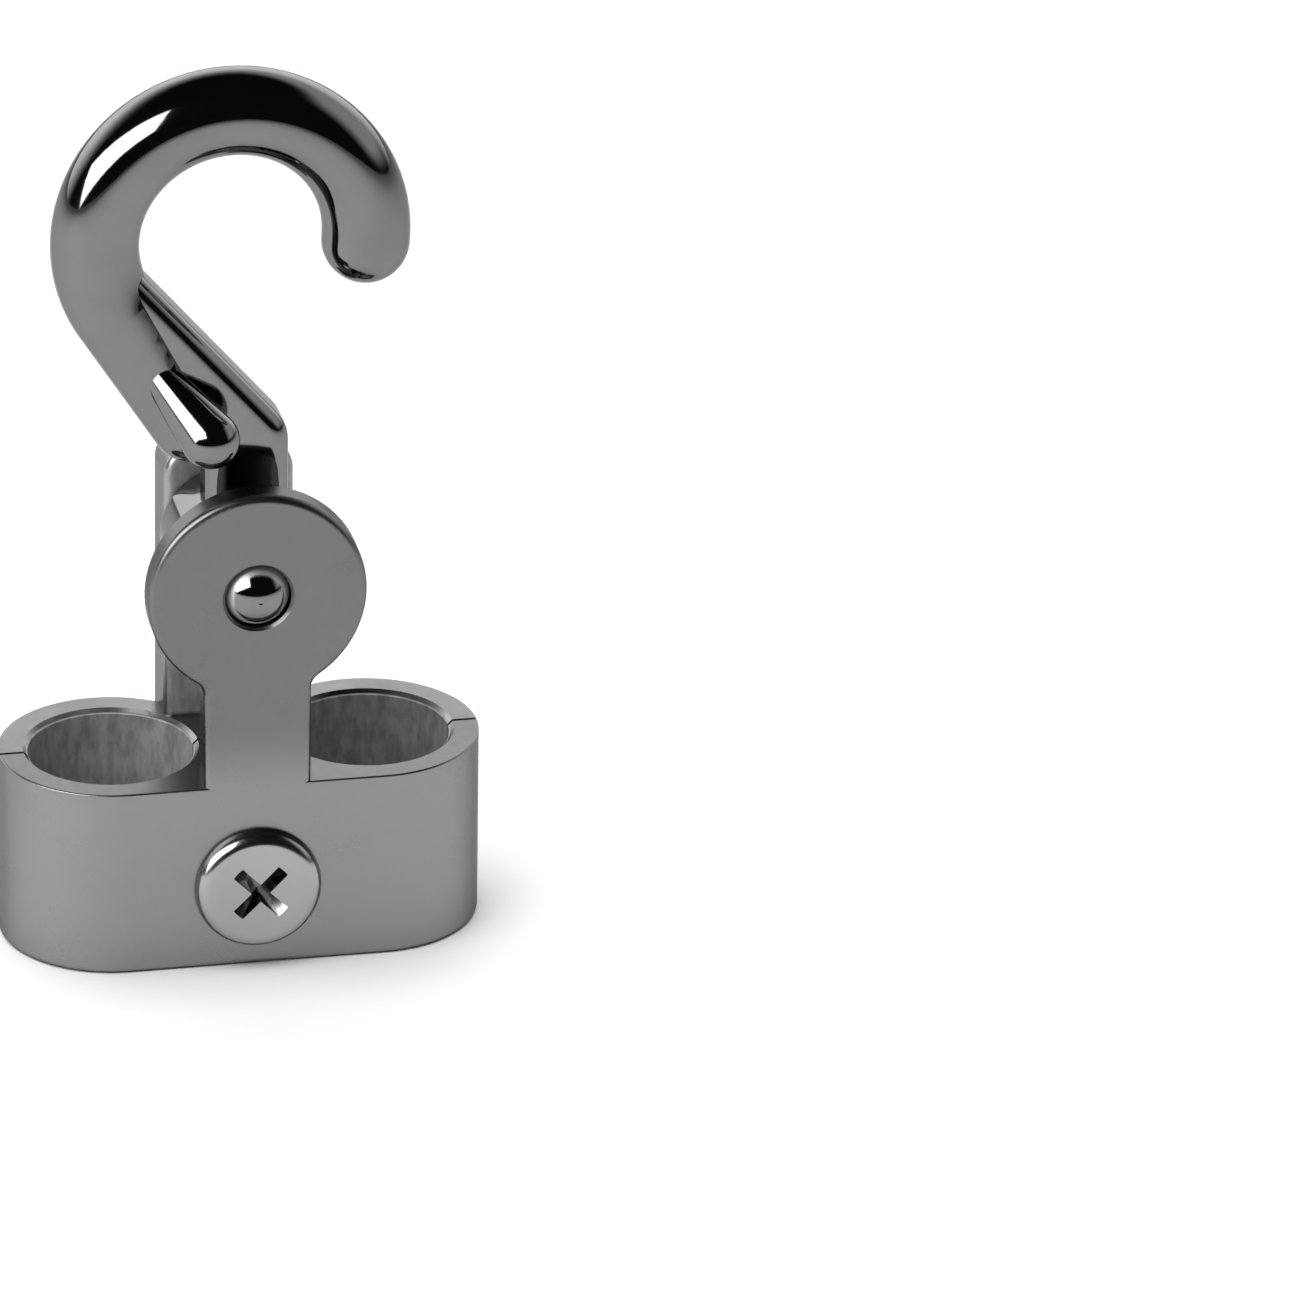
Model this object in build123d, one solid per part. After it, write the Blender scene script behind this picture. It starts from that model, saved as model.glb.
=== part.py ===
from build123d import *
import os
from math import cos, sin, radians

# Rope hook: a two-shell rope clamp with a hook that turns on a cross pin.
# Millimetres. +Z up, +X along the clamp's length, +Y to its rear.
# Origin: centre of the clamp's bottom face.

# ---- clamp body ----
BORE_R = 5.0            # rope bore radius
BORE_PITCH = 15.6       # distance between the two rope bores
OUT_R = 6.8             # outer radius of the rounded ends = half the depth
BODY_H = 11.9           # height of the clamp body
SPLIT = 0.12            # each shell's mating face stands this far off Y = 0
REAR_WEB_H = 10.9       # rear wall between the rings stops a little lower
RIM_FILLET = 0.10       # rounding of the outer top edge
FOOT_FILLET = 0.30      # rounding of the outer bottom edge
BORE_CHAMFER = 0.30     # lead-in at the bore mouths

# ---- front arm and disc ----
ARM_W = 6.5
ARM_T = 1.7
DISC_R = 6.6
PLATE_FILLET = 0.45      # rounding of the front edge of arm and disc
PIN_Z = 24.3

# ---- rear post ----
POST_W = 7.9
POST_T = 3.4
POST_TOP = 29.7
POST_CORNER_R = 2.0
POST_EDGE_R = 0.55

# ---- pivot pin ----
PIN_R = 1.95
PIN_DOME = 1.35         # height of the ball-shaped ends
PIN_PROUD = 0.75        # how far the front end stands out of the disc
PIN_REAR = 1.05         # how far the rear end stands out of the post
PIN_RUN = 0.06          # radial running clearance
PIN_RECESS_R = 2.18
PIN_RECESS_D = 0.15

# ---- clamp screw ----
SCREW_Z = 5.2
SCREW_R = 1.70
THREAD_R = 1.75
CLEAR_R = 1.95
HEAD_R = 3.85           # pan head
HEAD_H = 1.05
HEAD_EDGE_R = 0.90
HEAD_CROWN = 0.10
HEAD_GAP = 0.02         # room under the head
SCREW_END_Y = 5.8
CROSS_L = 3.95
CROSS_W = 0.80
CROSS_D = 2.0

# ---- hook ----
HOOK_Y = -0.85          # hook's middle plane, half way between arm and post
WIRE_R = 2.65
BOWL_X, BOWL_Z = -0.7, 45.25
BOWL_R = 8.15           # bowl radius at the wire's centre
TIP_ANGLE = -5.0
SHANK_ANGLE = 210.5     # where the bowl runs out into the straight shank
SHANK_TOP = (-8.05, 41.9)   # middle of the straight shank where it leaves the bowl
SHANK_LOW = (0.15, 32.3)    # and at the elbow over the eye
SHANK_W, SHANK_T = 5.0, 4.0     # shank and neck: a strip with a flat face to the front
SHANK_EDGE_R = 1.2
SIDE_L = 9.0            # second strand: straight on from the bowl's end, beside the shank
SIDE_END_R = 2.35
LUG_TOP, LUG_TOP_R = (-5.90, -1.85, 38.10), 0.85    # drop-shaped lug that rises forward along the second strand
LUG_LOW, LUG_LOW_R = (-2.60, -5.00, 34.05), 1.75
EYE_R = 4.3
EYE_T = 8.2

os.makedirs("parts", exist_ok=True)
FRONT_Y = -OUT_R


def stadium(height):
    return extrude(SlotCenterToCenter(BORE_PITCH, 2 * OUT_R), amount=height)


def bar(x0, x1, y0, y1, z0, z1):
    return Pos((x0 + x1) / 2, (y0 + y1) / 2, (z0 + z1) / 2) * Box(x1 - x0, y1 - y0, z1 - z0)


def rod_y(radius, y0, y1, x=0.0, z=0.0):
    return Pos(x, (y0 + y1) / 2, z) * Rot(90, 0, 0) * Cylinder(radius, y1 - y0)


def cone_y(r0, r1, y0, y1, x=0.0, z=0.0):
    # radius r0 at y0, r1 at y1
    return Pos(x, (y0 + y1) / 2, z) * Rot(-90, 0, 0) * Cone(r0, r1, y1 - y0)


def cone_between(p0, r0, p1, r1):
    axis = Vector(*p1) - Vector(*p0)
    return Plane(origin=p0, z_dir=axis) * Pos(0, 0, axis.length / 2) * Cone(r0, r1, axis.length)


def dome_arc(radius, apex, edge):
    # a flat arc from the axis out to the rim; apex and edge are its heights along Y
    sag = abs(edge - apex)
    rc = (radius * radius + sag * sag) / (2 * sag)
    drop = rc - (rc * rc - radius * radius / 4) ** 0.5
    return ThreePointArc((0, apex), (radius / 2, apex + (drop if edge > apex else -drop)), (radius, edge))


def turned(edges, z):
    # a turned part on the Y axis, lifted to height z
    return Pos(0, 0, z) * revolve(make_face(edges), Axis.Y, 360)


def bores():
    cut = None
    for s in (-1, 1):
        x = s * BORE_PITCH / 2
        c = Pos(x, 0, BODY_H / 2) * Cylinder(BORE_R, BODY_H + 0.02)
        c += Pos(x, 0, BODY_H - BORE_CHAMFER / 2) * Cone(BORE_R, BORE_R + BORE_CHAMFER, BORE_CHAMFER)
        c += Pos(x, 0, BORE_CHAMFER / 2) * Cone(BORE_R + BORE_CHAMFER, BORE_R, BORE_CHAMFER)
        cut = c if cut is None else cut + c
    return cut


def at_height(edges, z):
    return [e for e in edges if abs(e.bounding_box().min.Z - z) < 1e-6 and abs(e.bounding_box().max.Z - z) < 1e-6]


# ================= clamp blank, rounded top and bottom =================
blank = stadium(BODY_H)
blank = fillet(at_height(blank.edges(), 0.0), FOOT_FILLET)

# ================= front shell =================
front_blank = fillet(at_height(blank.edges(), BODY_H), RIM_FILLET)
front = front_blank & bar(-30, 30, -20, -SPLIT, -1, 40)
front -= bores()

arm = bar(-ARM_W / 2, ARM_W / 2, FRONT_Y, FRONT_Y + ARM_T, BODY_H - 2.0, PIN_Z)
disc = rod_y(DISC_R, FRONT_Y, FRONT_Y + ARM_T, 0, PIN_Z)
plate = arm + disc
plate = fillet(
    [e for e in plate.edges() if e.geom_type == GeomType.LINE
     and abs(e.center().Z - (PIN_Z - DISC_R)) < 1.5 and abs(e.length - ARM_T) < 1e-3],
    1.0,
)
plate = fillet(
    [e for e in plate.edges() if abs(e.bounding_box().max.Y - FRONT_Y) < 1e-5 and e.center().Z > BODY_H - 1.9],
    PLATE_FILLET,
)
front += plate

# pin hole with a shallow recess round the pin's domed end
front -= rod_y(PIN_R + PIN_RUN, FRONT_Y - 1, FRONT_Y + ARM_T + 1, 0, PIN_Z)
front -= cone_y(PIN_RECESS_R, PIN_R + PIN_RUN, FRONT_Y - 0.001, FRONT_Y + PIN_RECESS_D, 0, PIN_Z)

# clearance hole for the screw
front -= rod_y(CLEAR_R, FRONT_Y - 1, 1, 0, SCREW_Z)

# ================= rear shell =================
rear = front_blank & bar(-30, 30, SPLIT, 20, -1, 40)
rear -= bores()

# beside the post the rear wall stops short of the rim, so each ring stands free there
for s in (-1, 1):
    ring = Pos(s * BORE_PITCH / 2, 0, BODY_H / 2) * Cylinder(OUT_R, BODY_H)
    ring = fillet(at_height(ring.edges(), BODY_H), RIM_FILLET)
    x0, x1 = sorted((s * (POST_W / 2 - 0.5), s * BORE_PITCH / 2))
    rear -= bar(x0, x1, 3.0, 8.0, REAR_WEB_H, BODY_H + 1) - ring

post_y0 = OUT_R - POST_T
post = bar(-POST_W / 2, POST_W / 2, post_y0, OUT_R, REAR_WEB_H - 2.0, POST_TOP)
post = fillet([e for e in post.edges().filter_by(Axis.Y) if e.center().Z > POST_TOP - 0.01], POST_CORNER_R)
post = fillet([e for e in post.edges() if abs(e.center().Y - post_y0) < 1e-6 and e.center().Z > BODY_H], POST_EDGE_R)
rear += post
rear -= rod_y(PIN_R, post_y0 - 1, OUT_R + 1, 0, PIN_Z)
rear -= cone_y(PIN_R, PIN_RECESS_R, OUT_R - PIN_RECESS_D, OUT_R + 0.001, 0, PIN_Z)
rear -= rod_y(THREAD_R, -1, OUT_R + 1, 0, SCREW_Z)
rear -= cone_y(THREAD_R, THREAD_R + 0.3, OUT_R - 0.3, OUT_R + 0.001, 0, SCREW_Z)

# ================= pivot pin =================
pin_y0, pin_y1 = FRONT_Y - PIN_PROUD, OUT_R + PIN_REAR
pin = turned(
    [
        dome_arc(PIN_R, pin_y0, pin_y0 + PIN_DOME),
        Line((PIN_R, pin_y0 + PIN_DOME), (PIN_R, pin_y1 - PIN_DOME)),
        dome_arc(PIN_R, pin_y1, pin_y1 - PIN_DOME),
        Line((0, pin_y1), (0, pin_y0)),
    ],
    PIN_Z,
)

# ================= clamp screw =================
seat_y = FRONT_Y - HEAD_GAP
top_y = FRONT_Y - HEAD_H
flat_r, edge_y = HEAD_R - HEAD_EDGE_R, top_y + HEAD_CROWN
bend_y = edge_y + HEAD_EDGE_R
screw = turned(
    [
        dome_arc(flat_r, top_y, edge_y),
        ThreePointArc(
            (flat_r, edge_y),
            (flat_r + HEAD_EDGE_R * sin(radians(45)), bend_y - HEAD_EDGE_R * cos(radians(45))),
            (HEAD_R, bend_y),
        ),
        Polyline(
            (HEAD_R, bend_y), (HEAD_R, seat_y), (SCREW_R, seat_y), (SCREW_R, SCREW_END_Y - 0.4),
            (SCREW_R - 0.4, SCREW_END_Y), (0, SCREW_END_Y), (0, top_y),
        ),
    ],
    SCREW_Z,
)
cross = Box(CROSS_L, 2 * CROSS_D, CROSS_W) + Box(CROSS_W, 2 * CROSS_D, CROSS_L)
cross = Pos(0, top_y, SCREW_Z) * Rot(0, 45, 0) * cross
cross &= cone_y(CROSS_L / 2 + 0.1, 0.55, top_y - 0.1, top_y + CROSS_D, 0, SCREW_Z)
screw -= cross

# ================= swivel hook =================
def on_bowl(angle):
    return (BOWL_X + BOWL_R * cos(radians(angle)), BOWL_Z + BOWL_R * sin(radians(angle)))


# bowl: the round wire swept about the bowl's own axis, from the tip over the crown to the shank
tip_x, tip_z = on_bowl(TIP_ANGLE)
start = Plane(
    origin=(tip_x, HOOK_Y, tip_z),
    x_dir=(0, 1, 0),
    z_dir=(-sin(radians(TIP_ANGLE)), 0, cos(radians(TIP_ANGLE))),
)
bowl = revolve(start * Circle(WIRE_R), Axis((BOWL_X, HOOK_Y, BOWL_Z), (0, -1, 0)), SHANK_ANGLE - TIP_ANGLE)
hook = bowl + Pos(tip_x, HOOK_Y, tip_z) * Sphere(WIRE_R)

# shank: a strip, straight from the inside of the bowl's end down to an elbow, then upright to the eye
def strip(x0, z0, x1, z1):
    # rounded-rectangle section, flat to the front, between two points of the hook's middle plane
    axis = Vector(x1 - x0, 0, z1 - z0)
    section = Plane(origin=(x0, HOOK_Y, z0), x_dir=(0, 1, 0), z_dir=axis) * RectangleRounded(SHANK_T, SHANK_W, SHANK_EDGE_R)
    return extrude(section, amount=axis.length, dir=axis.normalized())


elbow = rod_y(SHANK_W / 2, HOOK_Y - SHANK_T / 2, HOOK_Y + SHANK_T / 2, SHANK_LOW[0], SHANK_LOW[1])
elbow = fillet([e for e in elbow.edges() if e.geom_type == GeomType.CIRCLE], SHANK_EDGE_R)
hook += strip(*SHANK_TOP, *SHANK_LOW)
hook += elbow
hook += strip(*SHANK_LOW, SHANK_LOW[0], PIN_Z + 2.6)

# second strand: the bowl's end runs on along its tangent to a rounded end beside the elbow
sx, sz = on_bowl(SHANK_ANGLE)
dx, dz = -sin(radians(SHANK_ANGLE)), cos(radians(SHANK_ANGLE))
side_end = (sx + dx * SIDE_L, HOOK_Y, sz + dz * SIDE_L)
hook += cone_between((sx, HOOK_Y, sz), WIRE_R, side_end, SIDE_END_R)
hook += Pos(*side_end) * Sphere(SIDE_END_R)

# lug: drop-shaped, rises forward out of the second strand towards its end
ax, ay, az = (b - a for a, b in zip(LUG_TOP, LUG_LOW))
lug_l = (ax * ax + ay * ay + az * az) ** 0.5
tilt = (LUG_LOW_R - LUG_TOP_R) / lug_l
# the cone runs tangentially into the ball at its lower end
ball_in = [c - LUG_LOW_R * tilt * d / lug_l for c, d in zip(LUG_LOW, (ax, ay, az))]
hook += cone_between(LUG_TOP, LUG_TOP_R * (1 - tilt * tilt) ** 0.5, tuple(ball_in), LUG_LOW_R * (1 - tilt * tilt) ** 0.5)
hook += Pos(*LUG_LOW) * Sphere(LUG_LOW_R)

# eye
eye = rod_y(EYE_R, HOOK_Y - EYE_T / 2, HOOK_Y + EYE_T / 2, 0, PIN_Z)
eye = fillet([e for e in eye.edges() if e.geom_type == GeomType.CIRCLE], 0.35)
hook += eye
hook -= rod_y(PIN_R + PIN_RUN, -9, 9, 0, PIN_Z)

# ================= write =================
nodes = {
    "front_shell": front,
    "rear_shell": rear,
    "pivot_pin": pin,
    "clamp_screw": screw,
    "swivel_hook": hook,
}
for name, shape in nodes.items():
    solids = shape.solids()
    print(name, "solids", len(solids), "volume", round(shape.volume, 2), "box", shape.bounding_box())
    export_step(solids[0] if len(solids) == 1 else Compound(children=list(solids)), f"parts/{name}.step")
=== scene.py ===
"""Rope hook: a two-shell rope clamp with a swivelling hook on a pin. Satin shells, chromed hook, pin and screw."""

import math

import bpy
from mathutils import Matrix, Vector

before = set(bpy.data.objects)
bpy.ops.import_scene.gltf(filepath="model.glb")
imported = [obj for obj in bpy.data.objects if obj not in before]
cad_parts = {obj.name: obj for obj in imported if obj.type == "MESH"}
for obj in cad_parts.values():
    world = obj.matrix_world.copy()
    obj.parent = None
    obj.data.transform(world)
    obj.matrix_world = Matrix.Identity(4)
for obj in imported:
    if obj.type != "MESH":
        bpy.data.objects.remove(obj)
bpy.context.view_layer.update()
MM = 0.001
scene = bpy.context.scene


# ---------------------------------------------------------------- node helpers
def tree(owner):
    owner.use_nodes = True
    owner.node_tree.nodes.clear()
    return owner.node_tree


def node(nt, kind, **values):
    n = nt.nodes.new(kind)
    for k, v in values.items():
        setattr(n, k, v)
    return n


def put(nt, target, source):
    """A socket gets a link, or a plain value."""
    if isinstance(source, bpy.types.NodeSocket):
        nt.links.new(source, target)
    else:
        target.default_value = source


def math_node(nt, op, a, b=0.0, clamp=False):
    n = node(nt, "ShaderNodeMath", operation=op, use_clamp=clamp)
    put(nt, n.inputs[0], a)
    put(nt, n.inputs[1], b)
    return n.outputs[0]


def ramp01(nt, value, lo, hi, out_lo=0.0, out_hi=1.0, smooth=True):
    n = node(nt, "ShaderNodeMapRange", interpolation_type="SMOOTHSTEP" if smooth else "LINEAR", clamp=True)
    put(nt, n.inputs["Value"], value)
    n.inputs["From Min"].default_value = lo
    n.inputs["From Max"].default_value = hi
    n.inputs["To Min"].default_value = out_lo
    n.inputs["To Max"].default_value = out_hi
    return n.outputs["Result"]


def dot(nt, vec, axis):
    n = node(nt, "ShaderNodeVectorMath", operation="DOT_PRODUCT")
    put(nt, n.inputs[0], vec)
    n.inputs[1].default_value = axis
    return n.outputs["Value"]


# ---------------------------------------------------------------- camera
AZ, EL, ROLL = (math.radians(a) for a in (-11.7365, 25.7242, 0.8838))
CAM_POS = Vector((-0.140742, -0.798745, 0.408653))
FOCAL_PX, FRAME_PX = 15000.0, 1300.0

look = Vector((-math.sin(AZ) * math.cos(EL), math.cos(AZ) * math.cos(EL), -math.sin(EL)))
right = Vector((math.cos(AZ), math.sin(AZ), 0.0))
up = right.cross(look)
right_r = math.cos(ROLL) * right + math.sin(ROLL) * up
up_r = -math.sin(ROLL) * right + math.cos(ROLL) * up

cam_data = bpy.data.cameras.new("camera")
cam_data.sensor_width = 36.0
cam_data.lens = FOCAL_PX / FRAME_PX * 36.0
cam_data.clip_start, cam_data.clip_end = 0.01, 20.0
cam = bpy.data.objects.new("camera", cam_data)
scene.collection.objects.link(cam)
cam.matrix_world = Matrix(
    (
        (right_r.x, up_r.x, -look.x, CAM_POS.x),
        (right_r.y, up_r.y, -look.y, CAM_POS.y),
        (right_r.z, up_r.z, -look.z, CAM_POS.z),
        (0, 0, 0, 1),
    )
)
scene.camera = cam

scene.view_settings.view_transform = "Standard"
scene.view_settings.look = "None"


# ---------------------------------------------------------------- studio
def direction(az, el):
    """Unit vector; azimuth 0 is -Y, +90 is +X."""
    a, e = math.radians(az), math.radians(el)
    return Vector((math.sin(a) * math.cos(e), -math.cos(a) * math.cos(e), math.sin(e)))


world = bpy.data.worlds.new("studio")
scene.world = world
nt = tree(world)
coord = node(nt, "ShaderNodeTexCoord").outputs["Generated"]
unit = node(nt, "ShaderNodeVectorMath", operation="NORMALIZE")
put(nt, unit.inputs[0], coord)
ray = unit.outputs[0]
height = dot(nt, ray, (0, 0, 1))


# a pale wall behind, a grey one to the right, dark overhead and behind the camera
back = math_node(
    nt,
    "MULTIPLY",
    ramp01(nt, dot(nt, ray, tuple(direction(178, 0))), 0.15, 0.95, 0.0, 2.6),
    ramp01(nt, height, 0.80, 0.25),
)
side = math_node(
    nt,
    "MULTIPLY",
    ramp01(nt, dot(nt, ray, tuple(direction(125, 0))), 0.40, 0.75, 0.0, 0.85),
    math_node(nt, "MULTIPLY", ramp01(nt, height, 0.80, 0.60), ramp01(nt, height, 0.0, 0.20)),
)
walls = math_node(nt, "MAXIMUM", back, side)
total = math_node(nt, "ADD", walls, 0.012)
bg = node(nt, "ShaderNodeBackground")
bg.inputs["Color"].default_value = (1, 1, 1, 1)
put(nt, bg.inputs["Strength"], total)
out = node(nt, "ShaderNodeOutputWorld")
nt.links.new(bg.outputs[0], out.inputs["Surface"])


def area(name, at, aim, size, watts, glossy=True, diffuse=True, shape="RECTANGLE", spin=0.0):
    data = bpy.data.lights.new(name, "AREA")
    data.shape = shape
    data.size, data.size_y = size
    data.energy = watts
    o = bpy.data.objects.new(name, data)
    scene.collection.objects.link(o)
    q = (Vector(aim) - Vector(at)).to_track_quat("-Z", "Y").to_matrix().to_4x4()
    o.matrix_world = Matrix.Translation(at) @ q @ Matrix.Rotation(spin, 4, "Z")
    o.visible_glossy = glossy
    o.visible_diffuse = diffuse
    o.visible_camera = False
    return o


AIM = Vector((0, 0, 0.03))
# a turned softbox to the front left, seen in the metal, with its soft fill; a large lamp overhead lights the floor
area("softbox", AIM + direction(-61, 30) * 0.62, AIM, (0.62, 0.38), 4.0, diffuse=False, spin=math.radians(40))
area("soft_fill", AIM + direction(-61, 30) * 0.62, AIM, (0.62, 0.38), 2.4, glossy=False, spin=math.radians(40))
area("top_fill", Vector((-0.07, -0.01, 0.44)), Vector((-0.02, 0, 0)), (0.50, 0.50), 2.95, glossy=False)

# ---------------------------------------------------------------- floor
bpy.ops.mesh.primitive_grid_add(x_subdivisions=8, y_subdivisions=8, size=6.0, location=(0, 0, -0.00002))
floor = bpy.context.object
floor.name = "floor"
mat = bpy.data.materials.new("pale_floor")
nt = tree(mat)
coord = node(nt, "ShaderNodeTexCoord").outputs["Object"]
speck = node(nt, "ShaderNodeTexNoise")
speck.inputs["Scale"].default_value = 60.0
speck.inputs["Detail"].default_value = 4.0
put(nt, speck.inputs["Vector"], coord)
tone = node(nt, "ShaderNodeValToRGB")
tone.color_ramp.elements[0].color = (0.86, 0.86, 0.86, 1)
tone.color_ramp.elements[1].color = (0.90, 0.90, 0.90, 1)
put(nt, tone.inputs["Fac"], speck.outputs["Fac"])
bsdf = node(nt, "ShaderNodeBsdfPrincipled")
bsdf.inputs["Roughness"].default_value = 0.75
bsdf.inputs["Specular IOR Level"].default_value = 0.2
put(nt, bsdf.inputs["Base Color"], tone.outputs["Color"])
out = node(nt, "ShaderNodeOutputMaterial")
nt.links.new(bsdf.outputs[0], out.inputs["Surface"])
floor.data.materials.append(mat)


# ---------------------------------------------------------------- metals
def mix(nt, fac, a, b):
    """Plain linear mix of two numbers."""
    n = node(nt, "ShaderNodeMix", data_type="FLOAT")
    put(nt, n.inputs[0], fac)
    put(nt, n.inputs[2], a)
    put(nt, n.inputs[3], b)
    return n.outputs[0]


def noise(nt, vec, size_mm, detail, rough=0.5):
    n = node(nt, "ShaderNodeTexNoise")
    n.inputs["Scale"].default_value = 1.0 / (size_mm * MM)
    n.inputs["Detail"].default_value = detail
    n.inputs["Roughness"].default_value = rough
    put(nt, n.inputs["Vector"], vec)
    return n.outputs["Fac"]


def tones(nt, fac, dark, light, lo=0.30, hi=0.70):
    n = node(nt, "ShaderNodeValToRGB")
    n.color_ramp.elements[0].position = lo
    n.color_ramp.elements[0].color = (*dark, 1)
    n.color_ramp.elements[1].position = hi
    n.color_ramp.elements[1].color = (*light, 1)
    put(nt, n.inputs["Fac"], fac)
    return n.outputs["Color"]


def bumped(nt, height, depth_mm, under=None):
    n = node(nt, "ShaderNodeBump")
    n.inputs["Strength"].default_value = 1.0
    n.inputs["Distance"].default_value = depth_mm * MM
    put(nt, n.inputs["Height"], height)
    if under is not None:
        nt.links.new(under, n.inputs["Normal"])
    return n.outputs["Normal"]


def stretched(nt, vec, scale):
    n = node(nt, "ShaderNodeMapping")
    n.inputs["Scale"].default_value = scale
    put(nt, n.inputs["Vector"], vec)
    return n.outputs["Vector"]


def plated(name, dark, light, rough, wave_mm, wave_depth, pit_depth, edge, rim=None):
    """Bright plated metal: soft clouds in tone and gloss, a faint waviness and fine polishing lines. A rim
    (height of a cross axis, inner and outer radius in mm) is left dull and paler, as turned."""
    m = bpy.data.materials.new(name)
    nt = tree(m)
    coord = node(nt, "ShaderNodeTexCoord").outputs["Object"]
    cloud = noise(nt, coord, 5.0, 5.0, 0.6)
    lines = noise(nt, stretched(nt, coord, (1.0, 6.0, 0.5)), 0.35, 3.0)
    gloss = ramp01(nt, cloud, 0.3, 0.7, rough[0], rough[1], smooth=False)
    gloss = math_node(nt, "ADD", gloss, ramp01(nt, lines, 0.55, 0.75, 0.0, 0.03))
    bsdf = node(nt, "ShaderNodeBsdfPrincipled")
    bsdf.inputs["Metallic"].default_value = 1.0
    bsdf.inputs["Specular Tint"].default_value = (edge, edge, edge, 1)
    colour = tones(nt, cloud, dark, light)
    if rim:
        xyz = node(nt, "ShaderNodeSeparateXYZ")
        put(nt, xyz.inputs[0], coord)
        up_z = math_node(nt, "SUBTRACT", xyz.outputs["Z"], rim[0] * MM)
        dist = math_node(
            nt, "SQRT",
            math_node(nt, "ADD", math_node(nt, "MULTIPLY", up_z, up_z), math_node(nt, "MULTIPLY", xyz.outputs["X"], xyz.outputs["X"])),
        )
        dull = ramp01(nt, dist, rim[1] * MM, rim[2] * MM)
        gloss = mix(nt, dull, gloss, 0.42)
        pale = node(nt, "ShaderNodeMix", data_type="RGBA")
        put(nt, pale.inputs[0], dull)
        nt.links.new(colour, pale.inputs[6])
        nt.links.new(tones(nt, lines, (0.52, 0.52, 0.52), (0.60, 0.60, 0.60)), pale.inputs[7])
        colour = pale.outputs[2]
        put(nt, bsdf.inputs["Metallic"], mix(nt, dull, 1.0, 0.75))
    put(nt, bsdf.inputs["Base Color"], colour)
    put(nt, bsdf.inputs["Roughness"], gloss)
    normal = bumped(nt, noise(nt, coord, wave_mm, 1.0), wave_depth)
    normal = bumped(nt, lines, pit_depth, normal)
    nt.links.new(normal, bsdf.inputs["Normal"])
    out = node(nt, "ShaderNodeOutputMaterial")
    nt.links.new(bsdf.outputs[0], out.inputs["Surface"])
    return m


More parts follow.
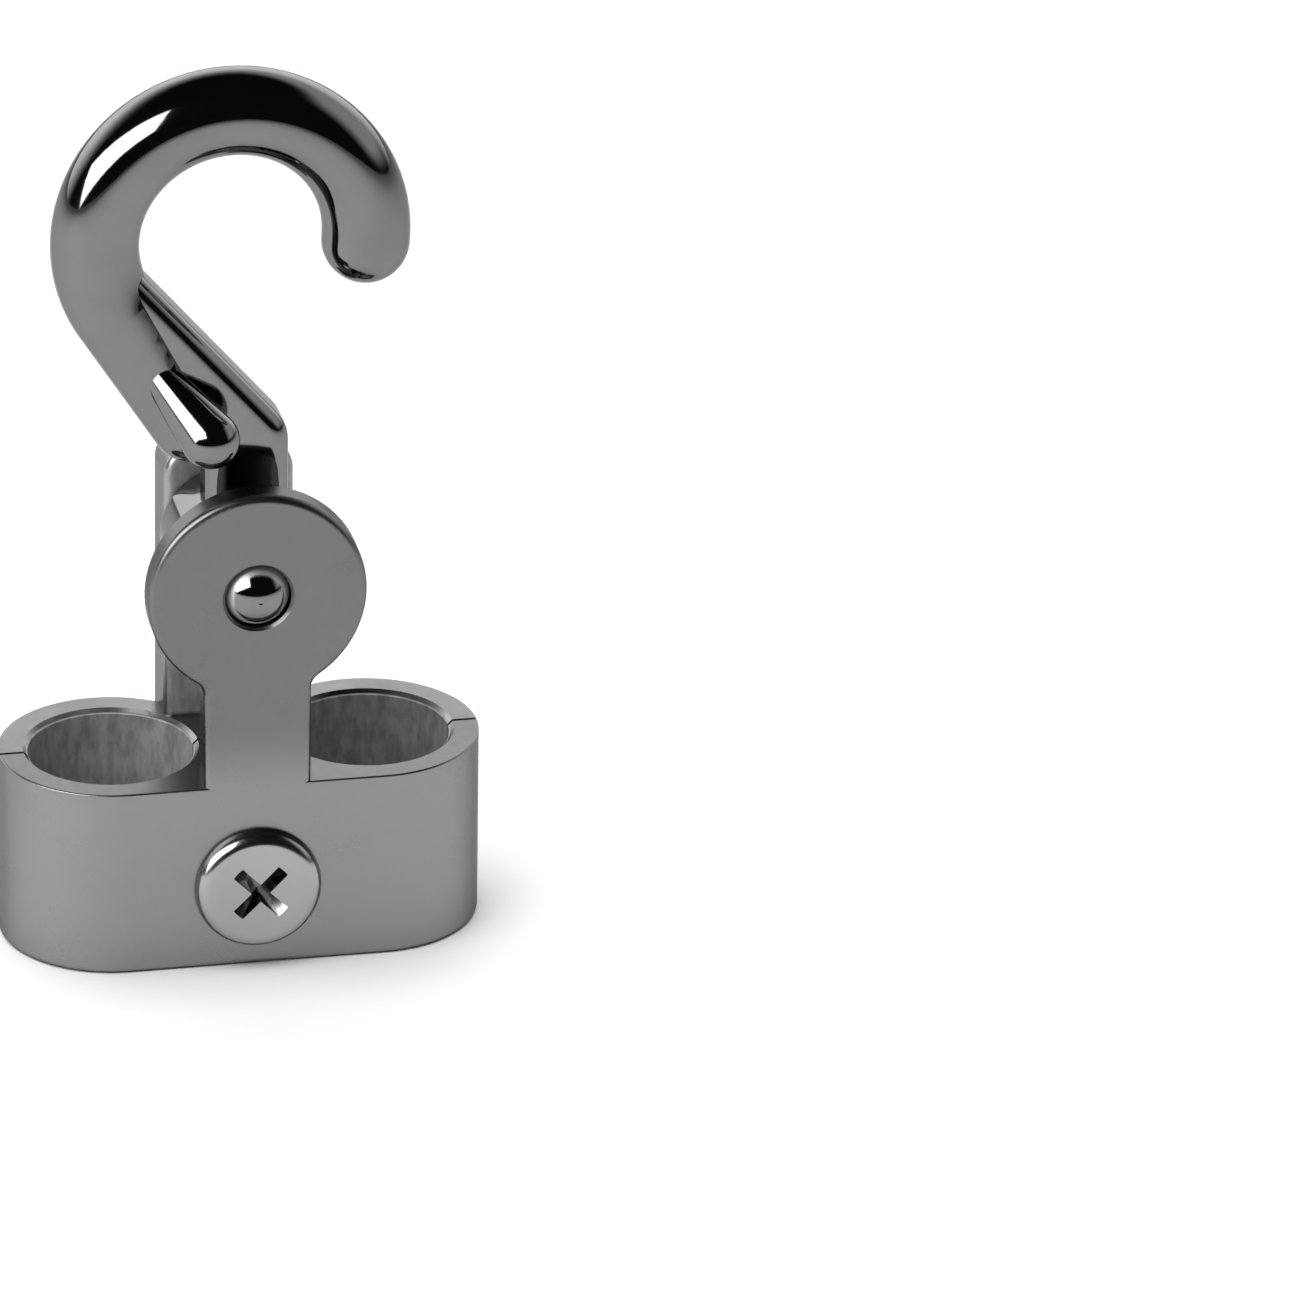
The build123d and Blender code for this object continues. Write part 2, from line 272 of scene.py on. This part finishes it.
def cast_shell(name, low, high, inner):
    """Satin plated casting, its tone painted to change from low to high up (painted shade where the top is set
    darker); the rope bores are left dull, as cast, with a coarser grain, and so in part is the inner face of the
    post (inner)."""
    m = bpy.data.materials.new(name)
    nt = tree(m)
    coord = node(nt, "ShaderNodeTexCoord").outputs["Object"]
    xyz = node(nt, "ShaderNodeSeparateXYZ")
    put(nt, xyz.inputs[0], coord)
    off = math_node(nt, "SUBTRACT", math_node(nt, "ABSOLUTE", xyz.outputs["X"]), 7.8 * MM)
    dist = math_node(
        nt, "SQRT",
        math_node(nt, "ADD", math_node(nt, "MULTIPLY", off, off), math_node(nt, "MULTIPLY", xyz.outputs["Y"], xyz.outputs["Y"])),
    )
    bore = math_node(nt, "MULTIPLY", ramp01(nt, dist, 5.10 * MM, 5.03 * MM), ramp01(nt, xyz.outputs["Z"], 11.95 * MM, 11.6 * MM))
    if inner:
        face = math_node(nt, "MULTIPLY", ramp01(nt, xyz.outputs["Y"], 3.60 * MM, 3.45 * MM), ramp01(nt, xyz.outputs["Z"], 11.9 * MM, 12.2 * MM))
        bore = math_node(nt, "MAXIMUM", bore, math_node(nt, "MULTIPLY", face, inner))

    cloud = noise(nt, coord, 4.5, 6.0, 0.62)
    grain = noise(nt, coord, 0.45, 1.0)
    coarse = noise(nt, stretched(nt, coord, (1.0, 1.0, 0.35)), 0.55, 4.0, 0.6)
    # painted shade: the tone is ramped with height, so the arm and disc above the body take the high tone and the
    # body the low tone
    up_z = ramp01(nt, xyz.outputs["Z"], 11.0 * MM, 16.0 * MM, 0.85, 0.15)
    cloud_and_painted_height_shade = math_node(nt, "ADD", up_z, ramp01(nt, cloud, 0.25, 0.75, -0.10, 0.10, smooth=False))
    satin_tone_painted_shade = tones(nt, cloud_and_painted_height_shade, (high, high * 1.01, high * 1.025), (low, low * 1.01, low * 1.025), 0.0, 1.0)
    dull_tone = tones(nt, coarse, (0.26, 0.26, 0.26), (0.42, 0.42, 0.42), 0.35, 0.65)
    tone = node(nt, "ShaderNodeMix", data_type="RGBA")
    put(nt, tone.inputs[0], bore)
    nt.links.new(satin_tone_painted_shade, tone.inputs[6])
    nt.links.new(dull_tone, tone.inputs[7])
    gloss = math_node(nt, "ADD", ramp01(nt, cloud, 0.3, 0.7, 0.25, 0.33, smooth=False), ramp01(nt, grain, 0.35, 0.65, 0.0, 0.03))
    bsdf = node(nt, "ShaderNodeBsdfPrincipled")
    bsdf.inputs["Specular Tint"].default_value = (0.40, 0.40, 0.40, 1)
    nt.links.new(tone.outputs[2], bsdf.inputs["Base Color"])
    put(nt, bsdf.inputs["Metallic"], mix(nt, bore, 1.0, 0.25))
    put(nt, bsdf.inputs["Roughness"], mix(nt, bore, gloss, 0.46))
    fine = bumped(nt, grain, 0.0020)
    height = math_node(nt, "MULTIPLY", coarse, bore)
    nt.links.new(bumped(nt, height, 0.03, fine), bsdf.inputs["Normal"])
    out = node(nt, "ShaderNodeOutputMaterial")
    nt.links.new(bsdf.outputs[0], out.inputs["Surface"])
    return m


# front shell: arm and disc painted much darker than the body, as painted shade; rear shell: post top painted a
# touch lighter, as painted light
front_metal = cast_shell("satin_front", 0.280, 0.150, 0.0)
rear_metal = cast_shell("satin_rear", 0.300, 0.320, 0.85)
chrome = plated("chrome_hook", (0.178, 0.181, 0.184), (0.202, 0.205, 0.208), (0.05, 0.09), 6.0, 0.010, 0.0006, 0.6)
pin_metal = plated("chrome_pin", (0.19, 0.193, 0.196), (0.22, 0.223, 0.226), (0.05, 0.09), 2.5, 0.004, 0.0006, 0.6, (24.3, 1.42, 1.62))
screw_metal = plated("plated_screw", (0.335, 0.339, 0.343), (0.375, 0.379, 0.383), (0.15, 0.21), 1.5, 0.004, 0.0008, 0.7)

for name, m in (
    ("front_shell", front_metal),
    ("rear_shell", rear_metal),
    ("swivel_hook", chrome),
    ("pivot_pin", pin_metal),
    ("clamp_screw", screw_metal),
):
    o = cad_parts[name]
    o.data.materials.clear()
    o.data.materials.append(m)
